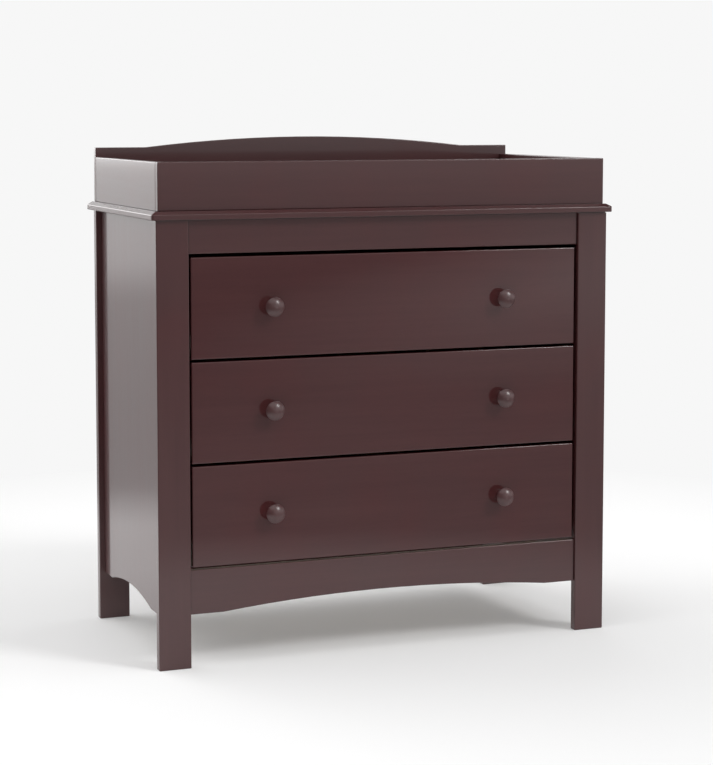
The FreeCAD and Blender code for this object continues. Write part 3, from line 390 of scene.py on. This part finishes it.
# ---------------------------------------------------------------------------------------------
# Pieces
# ---------------------------------------------------------------------------------------------
class DRESSER_OT_carcass(bpy.types.Operator):
    """Lacquer the legs, side panels, rail and apron, and give the rear rails a stain dimmed as
    painted shade
    """

    bl_idname = "dresser.carcass"
    bl_label = "Carcass"

    def execute(self, context):
        looks = context.scene.dresser_lacquer
        dress(("front_left_leg", "front_right_leg", "rear_left_leg", "rear_right_leg",
               "left_side_panel", "right_side_panel"),
              lacquered("lacquer_upright", ALONG_Z, looks, looks.board_roughness))
        dress(("front_top_rail", "front_apron"),
              lacquered("lacquer_across", ALONG_X, looks, looks.board_roughness))
        # The rear rails get the stain dimmed as painted shade.
        dress(("rear_top_rail", "rear_low_rail"), stained("stained_rails_in_painted_shade", ALONG_X, looks))
        return {"FINISHED"}


class DRESSER_OT_top_and_tray(bpy.types.Operator):
    """Lacquer the top and the changing tray"""

    bl_idname = "dresser.top_and_tray"
    bl_label = "Top and tray"

    def execute(self, context):
        looks = context.scene.dresser_lacquer
        dress(("top_panel", "tray_front", "tray_back"),
              lacquered("lacquer_top", ALONG_X, looks, looks.board_roughness))
        dress(("tray_left_side", "tray_right_side"),
              lacquered("lacquer_tray_sides", ALONG_Y, looks, looks.board_roughness))
        return {"FINISHED"}


class DRESSER_OT_drawer_fronts(bpy.types.Operator):
    """Lacquer the drawer fronts and their knobs"""

    bl_idname = "dresser.drawer_fronts"
    bl_label = "Drawer fronts and knobs"

    def execute(self, context):
        looks = context.scene.dresser_lacquer
        dress([f"{drawer}_front" for drawer in DRAWERS],
              lacquered("lacquer_drawer_fronts", ALONG_X, looks, looks.front_roughness,
                        wood_gloss=looks.front_gloss, coat_ior=looks.front_ior))
        dress([f"{drawer}_knobs" for drawer in DRAWERS],
              lacquered("lacquer_knobs", ALONG_Y, looks, looks.knob_roughness))
        return {"FINISHED"}


class DRESSER_OT_drawer_boxes(bpy.types.Operator):
    """Finish the drawer sides, backs and bottoms, and all the dowels"""

    bl_idname = "dresser.drawer_boxes"
    bl_label = "Drawer boxes and dowels"

    def execute(self, context):
        looks = context.scene.dresser_fittings
        drawer_grain = shaded(looks.drawer_wood, 0.72)
        dress([f"{drawer}_{side}_side" for drawer in DRAWERS for side in ("left", "right")],
              bare_wood("drawer_sides", ALONG_Y, looks.drawer_wood, drawer_grain,
                        ring_count=14, roughness=0.42))
        dress([f"{drawer}_back" for drawer in DRAWERS],
              bare_wood("drawer_backs", ALONG_X, looks.drawer_wood, drawer_grain,
                        ring_count=14, roughness=0.42))
        dress([f"{drawer}_bottom" for drawer in DRAWERS],
              bare_wood("plywood", ALONG_X, looks.bottom_wood, shaded(looks.bottom_wood, 0.78),
                        ring_count=9, roughness=0.48))
        dress([f"{drawer}_dowels" for drawer in DRAWERS] + ["wood_dowels"],
              bare_wood("beech_dowels", ALONG_Y, looks.dowel_wood, looks.dowel_grain,
                        ring_count=5, roughness=0.55))
        return {"FINISHED"}


class DRESSER_OT_back_and_blocks(bpy.types.Operator):
    """Finish the back panel and the runner blocks"""

    bl_idname = "dresser.back_and_blocks"
    bl_label = "Back and runner blocks"

    def execute(self, context):
        looks = context.scene.dresser_fittings
        dress(["back_panel"],
              pressed_board("fibre_board", looks.back_board, shaded(looks.back_board, 1.9)))
        dress(["runner_blocks"],
              bare_wood("softwood", ALONG_Y, looks.block_wood, shaded(looks.block_wood, 0.6),
                        ring_count=24, roughness=0.6))
        return {"FINISHED"}


class DRESSER_OT_runners(bpy.types.Operator):
    """Finish the steel runners and their rollers"""

    bl_idname = "dresser.runners"
    bl_label = "Runners and rollers"

    def execute(self, context):
        looks = context.scene.dresser_fittings
        dress(["cabinet_runners"] + [f"{drawer}_runners" for drawer in DRAWERS],
              powder_coated("powder_coat", looks.runner_paint))
        dress([f"{drawer}_{end}_rollers" for drawer in DRAWERS for end in ("front", "rear")],
              moulded_nylon("nylon", looks.roller_nylon))
        return {"FINISHED"}


class DRESSER_OT_fasteners(bpy.types.Operator):
    """Finish the screws, cam bolts and cam locks"""

    bl_idname = "dresser.fasteners"
    bl_label = "Screws and cam locks"

    def execute(self, context):
        looks = context.scene.dresser_fittings
        dress([f"{drawer}_{part}_screws" for drawer in DRAWERS for part in ("knob", "runner")]
              + ["tray_screws", "cabinet_runner_screws", "cam_bolts"],
              bare_metal("zinc_plate", looks.zinc_plate, looks.plate_tint,
                         roughness=0.22, grit_scale=900))
        dress(["cam_locks"],
              bare_metal("zinc_casting", looks.zinc_casting, looks.casting_tint,
                         roughness=0.42, grit_scale=500))
        return {"FINISHED"}


# ---------------------------------------------------------------------------------------------
# Studio
# ---------------------------------------------------------------------------------------------
class Lamp(NamedTuple):
    """A broad lamp far away, with its angles in degrees."""

    azimuth: float      # from the front towards the right
    height: float       # above the floor
    width: float        # across the lamp
    floor_light: float  # brightness that it gives a white floor
    mirrored: bool      # whether glossy faces mirror it


LAMPS = {
    "key": Lamp(42, 38, 16, 0.20, True),
    "left": Lamp(-140, 14, 60, 0.145, True),
    "front": Lamp(-25, 60, 60, 0.18, True),
    "right": Lamp(80, 55, 50, 0.15, False),
    "rear": Lamp(180, 55, 40, 0.115, False),
    "side": Lamp(-95, 45, 40, 0.12, False),
}

# The floor. The lift of its shadows grows between these distances from the origin, in metres.
FLOOR_CORNERS = 96
SHADOW_END = (1.0, 1.9)

# Painted reflection: the floor as glossy faces mirror it is painted with a bright pool of light
# round the object, dimmer rings outside it, and a rise far off, each in front of the object and
# behind it; the eye sees it even. Distances are in metres.
POOL_MIDDLE = (-0.08, 0.21, 0.0)
FRONT_POOL = Fade(1.1, 1.55, 0.75, 0.28)
FRONT_RISE = Fade(3.8, 8.5, 0.0, 0.4)
REAR_POOL = Fade(1.1, 1.6, 1.0, 0.42)
REAR_RISE = Fade(7.5, 10.0, 0.0, 0.45)
FRONT_TO_REAR = Fade(-0.3, 0.6)

# Painted reflection: the surroundings as glossy faces mirror them are painted dark overhead, and
# a little dimmer in front than behind; the eye sees them pale.
# The fades follow how far a direction points up, and how far it points to the back.
OVERHEAD = Fade(0.24, 0.6, 1.0, 0.03)
BACKWARDS = Fade(-0.4, 0.3, 0.9, 1.0)

# Painted reflection: the floor and the surroundings are painted darker in glossy faces on this
# side, the front left
DARK_SIDE = (-0.819, -0.574, 0.0)
DARK_FLOOR = Fade(1.0, 2.5, 1.0, 0.2)
DARK_SECTOR = Fade(0.6, 0.85, 1.0, 0.2)

PHOTO_WIDTH = 713       # pixels
VIEW_DROP = 80          # pixels that the view is shifted down by
SENSOR_WIDTH = 36.0     # millimetres


def background_rays(shader):
    """1 for camera, glossy and transmission rays, and 0 for those that light the object."""
    return shader.node("ShaderNodeMath", {"operation": "ADD", "use_clamp": True},
                       {0: shader.ray("Camera") + shader.ray("Glossy"),
                        1: shader.ray("Transmission")})


def painted_floor_reflection(shader, here, away):
    """How bright the floor looks in glossy faces, painted with a pool of light: a painted
    reflection.
    """
    pool = shader.measure("DISTANCE", here, POOL_MIDDLE)
    front = shader.fade(pool, FRONT_POOL) + shader.fade(away, FRONT_RISE)
    rear = shader.fade(pool, REAR_POOL) + shader.fade(away, REAR_RISE)
    behind = shader.fade(shader.part(here, "Y"), FRONT_TO_REAR)
    sideways = shader.measure("DOT_PRODUCT", here, DARK_SIDE)
    return (front + (rear - front) * behind) * shader.fade(sideways, DARK_FLOOR)


def painted_surroundings_reflection(shader, towards):
    """How bright the surroundings look in glossy faces, painted dark overhead and at the front
    left: a painted reflection.
    """
    overhead = shader.fade(shader.part(towards, "Z"), OVERHEAD)
    behind = shader.fade(shader.part(towards, "Y"), BACKWARDS)
    sideways = shader.measure("DOT_PRODUCT", towards, DARK_SIDE)
    return overhead * behind * shader.fade(sideways, DARK_SECTOR)


def make_floor(studio):
    """A round pale floor that keeps the shadow near the object and melts into the backdrop."""
    mesh = bpy.data.meshes.new("floor")
    disc = bmesh.new()
    bmesh.ops.create_circle(disc, cap_ends=True, segments=FLOOR_CORNERS,
                            radius=studio.floor_radius)
    disc.to_mesh(mesh)
    disc.free()
    floor = bpy.data.objects.new("floor", mesh)
    bpy.context.scene.collection.objects.link(floor)
    material = bpy.data.materials.new("pale_floor")
    shader = Shader(material)
    here = shader.node("ShaderNodeTexCoord", output="Object")
    away = shader.node("ShaderNodeVectorMath", {"operation": "LENGTH"}, {0: here},
                       output="Value")
    # Painted reflection: glossy rays see the floor painted with a pool of light and rings outside
    # it.
    level = painted_floor_reflection(shader, here, away)
    grey = shader.node("ShaderNodeCombineColor", {}, {0: level, 1: level, 2: level})
    patch = shader.blend(shader.ray("Glossy"), opaque(WHITE), grey)
    pale = shader.node("ShaderNodeMix", {"data_type": "RGBA", "blend_type": "MULTIPLY"},
                       {0: 1.0, 6: opaque(WHITE, studio.backdrop), 7: patch}, output=2)
    lit = shader.node("ShaderNodeBsdfDiffuse", {}, {"Color": pale})
    plain = shader.node("ShaderNodeEmission", {}, {"Color": pale, "Strength": 1.0})
    lift = shader.fade(away, Fade(*SHADOW_END, studio.floor_lift, 1.0))
    mixed = shader.node("ShaderNodeMixShader", {},
                        {0: background_rays(shader) * lift, 1: lit, 2: plain})
    shader.node("ShaderNodeOutputMaterial", {}, {"Surface": mixed})
    mesh.materials.append(material)


def make_world(studio):
    """Pale all round for the eye, painted darker in glossy faces as a painted reflection, and a
    soft even dome of light.
    """
    world = bpy.data.worlds.new("studio")
    bpy.context.scene.world = world
    shader = Shader(world)
    towards = shader.node("ShaderNodeTexCoord", output="Generated")
    # Painted reflection: glossy rays see the surroundings painted dark overhead and at the front
    # left.
    mirrored = shader.ray("Glossy")
    seen = 1 - mirrored + mirrored * painted_surroundings_reflection(shader, towards)
    pale = shader.node("ShaderNodeBackground", {}, {
        "Color": opaque(WHITE), "Strength": seen * studio.backdrop})
    dome = shader.node("ShaderNodeBackground", {}, {
        "Color": opaque(WHITE), "Strength": studio.dome})
    mixed = shader.node("ShaderNodeMixShader", {}, {0: background_rays(shader), 1: dome, 2: pale})
    shader.node("ShaderNodeOutputWorld", {}, {"Surface": mixed})


def make_lamps():
    """Broad lamps far away, each set by the light that it throws on the floor."""
    for name, lamp in LAMPS.items():
        light = bpy.data.lights.new(name, "SUN")
        light.energy = math.pi * lamp.floor_light / math.sin(math.radians(lamp.height))
        light.angle = math.radians(lamp.width)
        holder = bpy.data.objects.new(name, light)
        holder.rotation_euler = (math.radians(90 - lamp.height), 0, math.radians(lamp.azimuth))
        holder.visible_glossy = lamp.mirrored
        bpy.context.scene.collection.objects.link(holder)


def make_camera(studio):
    """The photograph's camera: nearly level, with its view shifted down."""
    lens = bpy.data.cameras.new("camera")
    lens.sensor_fit = "HORIZONTAL"
    lens.sensor_width = SENSOR_WIDTH
    lens.lens = studio.focal_length
    lens.shift_y = -VIEW_DROP / PHOTO_WIDTH
    camera = bpy.data.objects.new("camera", lens)
    camera.location = studio.camera_place
    camera.rotation_euler = (math.pi / 2 - studio.camera_pitch, 0, -studio.camera_yaw)
    bpy.context.scene.collection.objects.link(camera)
    bpy.context.scene.camera = camera


class DRESSER_OT_studio(bpy.types.Operator):
    """Set up the floor, the light and the camera"""

    bl_idname = "dresser.studio"
    bl_label = "Studio"

    def execute(self, context):
        studio = context.scene.dresser_studio
        make_floor(studio)
        make_world(studio)
        make_lamps()
        make_camera(studio)
        context.scene.view_settings.view_transform = "Standard"
        return {"FINISHED"}


# ---------------------------------------------------------------------------------------------
# Add-on
# ---------------------------------------------------------------------------------------------
STEPS = (DRESSER_OT_studio, DRESSER_OT_carcass, DRESSER_OT_top_and_tray, DRESSER_OT_drawer_fronts,
         DRESSER_OT_drawer_boxes, DRESSER_OT_back_and_blocks, DRESSER_OT_runners,
         DRESSER_OT_fasteners)
GROUPS = {"dresser_lacquer": LacquerLooks, "dresser_fittings": FittingLooks,
          "dresser_studio": StudioSetup}


class DRESSER_PT_panel(bpy.types.Panel):
    """The dresser's steps and what can be changed about them"""

    bl_label = "Changing dresser"
    bl_space_type = "VIEW_3D"
    bl_region_type = "UI"
    bl_category = "Dresser"

    def draw(self, context):
        for name, group in GROUPS.items():
            box = self.layout.box()
            for prop in group.__annotations__:
                box.prop(getattr(context.scene, name), prop)
        for step in STEPS:
            self.layout.operator(step.bl_idname)


def register():
    for name, group in GROUPS.items():
        bpy.utils.register_class(group)
        setattr(bpy.types.Scene, name, PointerProperty(type=group))
    for step in STEPS:
        bpy.utils.register_class(step)
    bpy.utils.register_class(DRESSER_PT_panel)


def unregister():
    bpy.utils.unregister_class(DRESSER_PT_panel)
    for step in reversed(STEPS):
        bpy.utils.unregister_class(step)
    for name, group in GROUPS.items():
        delattr(bpy.types.Scene, name)
        bpy.utils.unregister_class(group)


def main():
    """Register, and run every step in order."""
    register()
    for step in STEPS:
        space, name = step.bl_idname.split(".")
        getattr(getattr(bpy.ops, space), name)()


if __name__ == "__main__":
    main()
